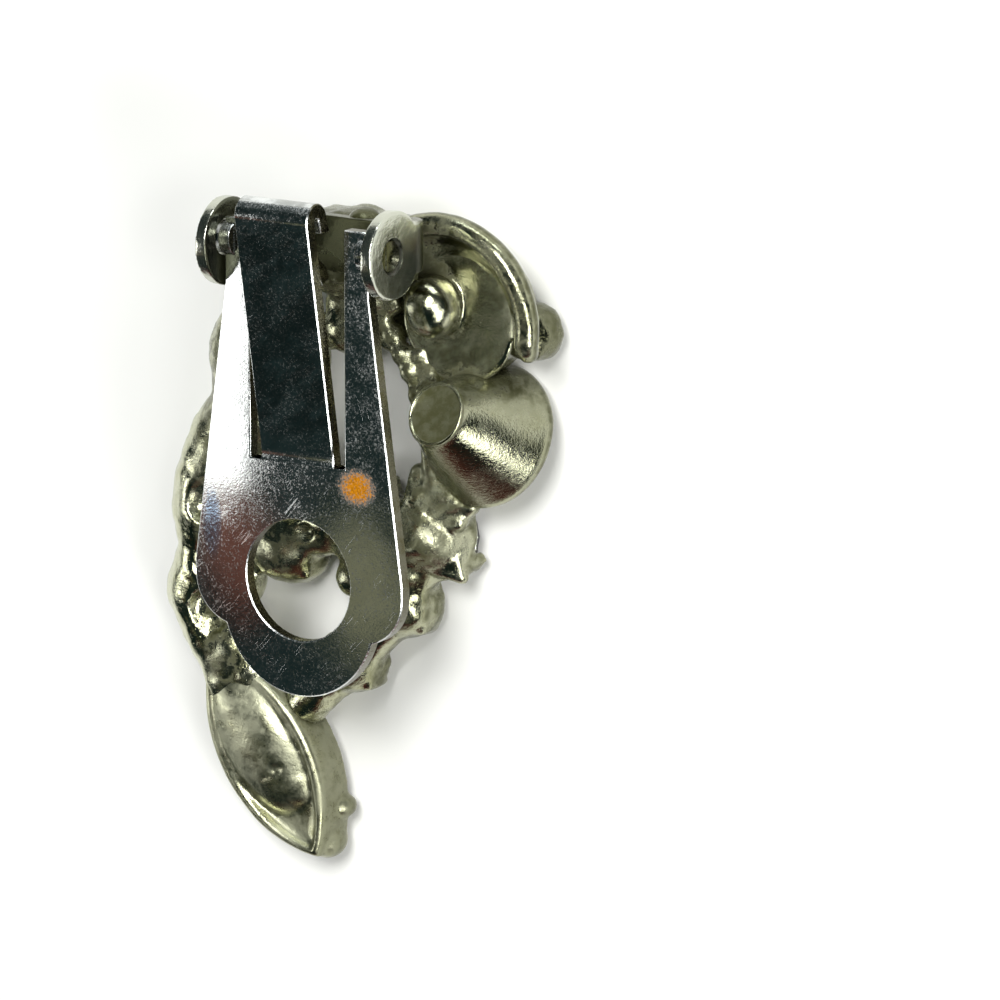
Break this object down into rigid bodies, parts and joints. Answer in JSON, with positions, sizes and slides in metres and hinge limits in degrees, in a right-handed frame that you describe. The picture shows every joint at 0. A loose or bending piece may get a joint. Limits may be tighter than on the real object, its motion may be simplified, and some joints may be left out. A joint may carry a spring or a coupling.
{
  "type": "clip-on earring",
  "caption": "Clip-on earring: an open cast cluster setting with cut stones in cups, and a hinged stamped clip paddle with a round hole and a raised centre tongue.",
  "frame": {"origin": "under the middle of the whole earring's box, on the surface it lies on", "axes": "+Z is the clip side, away from the surface; +Y runs along the earring from the pointed cup to the hinge; +X is across it, to the side of the ring cup and cone cup"},
  "size_m": [0.0216, 0.0322, 0.0105],
  "materials": {
    "cast_metal": "plated white metal casting, lumpy, tarnished olive in its recesses",
    "clip_steel": "polished stamped spring steel with fine scratches",
    "crystal": null
  },
  "bodies": {
    "setting": {"setting": "cast_metal", "stone_ring": "crystal", "stone_cone": "crystal", "stone_navette": "crystal", "stone_top": "crystal", "stone_bead": "crystal", "stone_upper_left": "crystal", "stone_left_mid": "crystal", "stone_left_low": "crystal", "stone_centre": "crystal", "stone_centre_left": "crystal", "stone_right_mid": "crystal", "stone_right_low": "crystal", "stone_right_end": "crystal", "stone_stub": "crystal"},
    "paddle": {"clip_paddle": "clip_steel"}
  },
  "joints": [
    {"name": "clip_hinge", "type": "hinge", "parent": "setting", "child": "paddle", "pos_m": [0.00076, 0.01377, 0.0082], "axis": [-1, 0, 0], "range_deg": [0, 80]}
  ]
}
